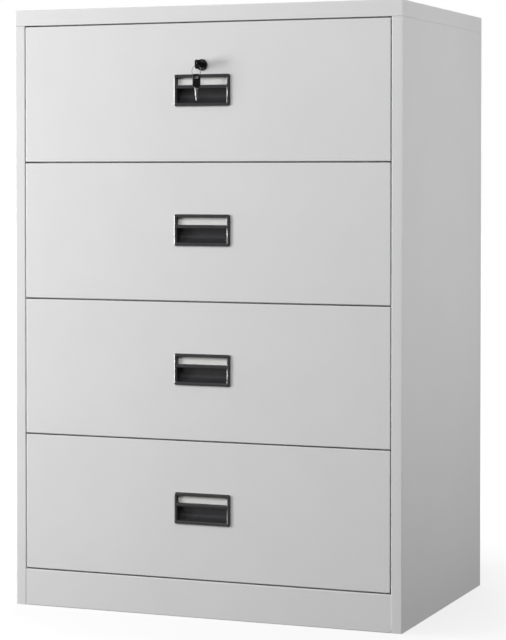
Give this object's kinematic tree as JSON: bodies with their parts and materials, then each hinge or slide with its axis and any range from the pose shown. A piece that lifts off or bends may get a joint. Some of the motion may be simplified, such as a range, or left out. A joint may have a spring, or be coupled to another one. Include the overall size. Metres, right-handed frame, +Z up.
{
  "type": "metal filing cabinet",
  "caption": "Wide steel filing cabinet: folded carcass, drawers on telescopic ball slides, recessed plastic handles with label windows, and a cam lock with keys.",
  "frame": {"origin": "on the floor, at the middle of the whole object's length and width, the key in the lock included", "axes": "+X to the right as seen from the front, +Y from the drawer fronts to the back, +Z up"},
  "size_m": [0.9, 0.6412, 1.32],
  "materials": {
    "cabinet_paint": "satin powder coat",
    "inside_paint": "satin powder coat",
    "zinc_plate": "zinc plated",
    "screw_steel": "bright",
    "handle_plastic": "glossy moulded",
    "label_card": "plain card",
    "lock_metal": "black chrome",
    "key_plastic": "moulded head on a nickel blade",
    "ring_wire": "nickel plated wire"
  },
  "bodies": {
    "cabinet": {"left_side_panel": "cabinet_paint", "right_side_panel": "cabinet_paint", "top_panel": "cabinet_paint", "back_panel": "inside_paint", "base_panel": "inside_paint", "plinth": "cabinet_paint", "top_rail": "inside_paint", "cross_rails": "inside_paint", "slide_posts": "zinc_plate", "slide_outers": "zinc_plate", "slide_screws": "screw_steel"},
    "drawer_1": {"drawer_1_front": "cabinet_paint", "drawer_1_liner": "inside_paint", "drawer_1_tray": "inside_paint", "drawer_1_file_rails": "zinc_plate", "drawer_1_handle": "handle_plastic", "drawer_1_label_card": "label_card", "drawer_1_slide_inners": "zinc_plate", "lock_housing": "lock_metal", "lock_nut": "screw_steel"},
    "drawer_1_middles": {"drawer_1_slide_middles": "zinc_plate"},
    "drawer_1_outer_cages": {"drawer_1_outer_cages": "zinc_plate"},
    "drawer_1_inner_cages": {"drawer_1_inner_cages": "zinc_plate"},
    "drawer_2": {"drawer_2_front": "cabinet_paint", "drawer_2_liner": "inside_paint", "drawer_2_tray": "inside_paint", "drawer_2_file_rails": "zinc_plate", "drawer_2_handle": "handle_plastic", "drawer_2_label_card": "label_card", "drawer_2_slide_inners": "zinc_plate"},
    "drawer_2_middles": {"drawer_2_slide_middles": "zinc_plate"},
    "drawer_2_outer_cages": {"drawer_2_outer_cages": "zinc_plate"},
    "drawer_2_inner_cages": {"drawer_2_inner_cages": "zinc_plate"},
    "drawer_3": {"drawer_3_front": "cabinet_paint", "drawer_3_liner": "inside_paint", "drawer_3_tray": "inside_paint", "drawer_3_file_rails": "zinc_plate", "drawer_3_handle": "handle_plastic", "drawer_3_label_card": "label_card", "drawer_3_slide_inners": "zinc_plate"},
    "drawer_3_middles": {"drawer_3_slide_middles": "zinc_plate"},
    "drawer_3_outer_cages": {"drawer_3_outer_cages": "zinc_plate"},
    "drawer_3_inner_cages": {"drawer_3_inner_cages": "zinc_plate"},
    "drawer_4": {"drawer_4_front": "cabinet_paint", "drawer_4_liner": "inside_paint", "drawer_4_tray": "inside_paint", "drawer_4_file_rails": "zinc_plate", "drawer_4_handle": "handle_plastic", "drawer_4_label_card": "label_card", "drawer_4_slide_inners": "zinc_plate"},
    "drawer_4_middles": {"drawer_4_slide_middles": "zinc_plate"},
    "drawer_4_outer_cages": {"drawer_4_outer_cages": "zinc_plate"},
    "drawer_4_inner_cages": {"drawer_4_inner_cages": "zinc_plate"},
    "lock_plug": {"lock_plug": "lock_metal", "lock_cam": "zinc_plate", "cam_screw": "screw_steel"},
    "lock_key": {"lock_key": "key_plastic"},
    "key_ring": {"key_ring": "ring_wire"},
    "spare_key": {"spare_key": "key_plastic"}
  },
  "joints": [
    {"name": "drawer_1_slide", "type": "slide", "parent": "cabinet", "child": "drawer_1", "axis": [0, -1, 0], "range_m": [0, 0.5]},
    {"name": "drawer_1_middles_slide", "type": "slide", "parent": "cabinet", "child": "drawer_1_middles", "axis": [0, -1, 0], "range_m": [0, 0.25]},
    {"name": "drawer_1_outer_cages_slide", "type": "slide", "parent": "cabinet", "child": "drawer_1_outer_cages", "axis": [0, -1, 0], "range_m": [0, 0.125]},
    {"name": "drawer_1_inner_cages_slide", "type": "slide", "parent": "cabinet", "child": "drawer_1_inner_cages", "axis": [0, -1, 0], "range_m": [0, 0.375]},
    {"name": "drawer_2_slide", "type": "slide", "parent": "cabinet", "child": "drawer_2", "axis": [0, -1, 0], "range_m": [0, 0.5]},
    {"name": "drawer_2_middles_slide", "type": "slide", "parent": "cabinet", "child": "drawer_2_middles", "axis": [0, -1, 0], "range_m": [0, 0.25]},
    {"name": "drawer_2_outer_cages_slide", "type": "slide", "parent": "cabinet", "child": "drawer_2_outer_cages", "axis": [0, -1, 0], "range_m": [0, 0.125]},
    {"name": "drawer_2_inner_cages_slide", "type": "slide", "parent": "cabinet", "child": "drawer_2_inner_cages", "axis": [0, -1, 0], "range_m": [0, 0.375]},
    {"name": "drawer_3_slide", "type": "slide", "parent": "cabinet", "child": "drawer_3", "axis": [0, -1, 0], "range_m": [0, 0.5]},
    {"name": "drawer_3_middles_slide", "type": "slide", "parent": "cabinet", "child": "drawer_3_middles", "axis": [0, -1, 0], "range_m": [0, 0.25]},
    {"name": "drawer_3_outer_cages_slide", "type": "slide", "parent": "cabinet", "child": "drawer_3_outer_cages", "axis": [0, -1, 0], "range_m": [0, 0.125]},
    {"name": "drawer_3_inner_cages_slide", "type": "slide", "parent": "cabinet", "child": "drawer_3_inner_cages", "axis": [0, -1, 0], "range_m": [0, 0.375]},
    {"name": "drawer_4_slide", "type": "slide", "parent": "cabinet", "child": "drawer_4", "axis": [0, -1, 0], "range_m": [0, 0.5]},
    {"name": "drawer_4_middles_slide", "type": "slide", "parent": "cabinet", "child": "drawer_4_middles", "axis": [0, -1, 0], "range_m": [0, 0.25]},
    {"name": "drawer_4_outer_cages_slide", "type": "slide", "parent": "cabinet", "child": "drawer_4_outer_cages", "axis": [0, -1, 0], "range_m": [0, 0.125]},
    {"name": "drawer_4_inner_cages_slide", "type": "slide", "parent": "cabinet", "child": "drawer_4_inner_cages", "axis": [0, -1, 0], "range_m": [0, 0.375]},
    {"name": "lock_turn", "type": "hinge", "parent": "drawer_1", "child": "lock_plug", "pos_m": [0, -0.28075, 1.1921], "axis": [0, -1, 0], "range_deg": [0, 90]},
    {"name": "key_pull", "type": "slide", "parent": "lock_plug", "child": "lock_key", "axis": [0, -1, 0], "range_m": [0, 0.028]},
    {"name": "ring_hang", "type": "hinge", "parent": "lock_key", "child": "key_ring", "pos_m": [-0.00058, -0.313, 1.18568], "axis": [0, -1, 0], "range_deg": [-90, 0]},
    {"name": "spare_swing", "type": "hinge", "parent": "key_ring", "child": "spare_key", "pos_m": [0, -0.313, 1.1653], "axis": [0.9659, -0.2588, 0], "range_deg": [-20, 20]}
  ],
  "couplings": [
    {"joint": "drawer_1_middles_slide", "follows": "drawer_1_slide", "ratio": 0.5},
    {"joint": "drawer_1_outer_cages_slide", "follows": "drawer_1_slide", "ratio": 0.25},
    {"joint": "drawer_1_inner_cages_slide", "follows": "drawer_1_slide", "ratio": 0.75},
    {"joint": "drawer_2_middles_slide", "follows": "drawer_2_slide", "ratio": 0.5},
    {"joint": "drawer_2_outer_cages_slide", "follows": "drawer_2_slide", "ratio": 0.25},
    {"joint": "drawer_2_inner_cages_slide", "follows": "drawer_2_slide", "ratio": 0.75},
    {"joint": "drawer_3_middles_slide", "follows": "drawer_3_slide", "ratio": 0.5},
    {"joint": "drawer_3_outer_cages_slide", "follows": "drawer_3_slide", "ratio": 0.25},
    {"joint": "drawer_3_inner_cages_slide", "follows": "drawer_3_slide", "ratio": 0.75},
    {"joint": "drawer_4_middles_slide", "follows": "drawer_4_slide", "ratio": 0.5},
    {"joint": "drawer_4_outer_cages_slide", "follows": "drawer_4_slide", "ratio": 0.25},
    {"joint": "drawer_4_inner_cages_slide", "follows": "drawer_4_slide", "ratio": 0.75},
    {"joint": "ring_hang", "follows": "lock_turn", "ratio": -1}
  ]
}
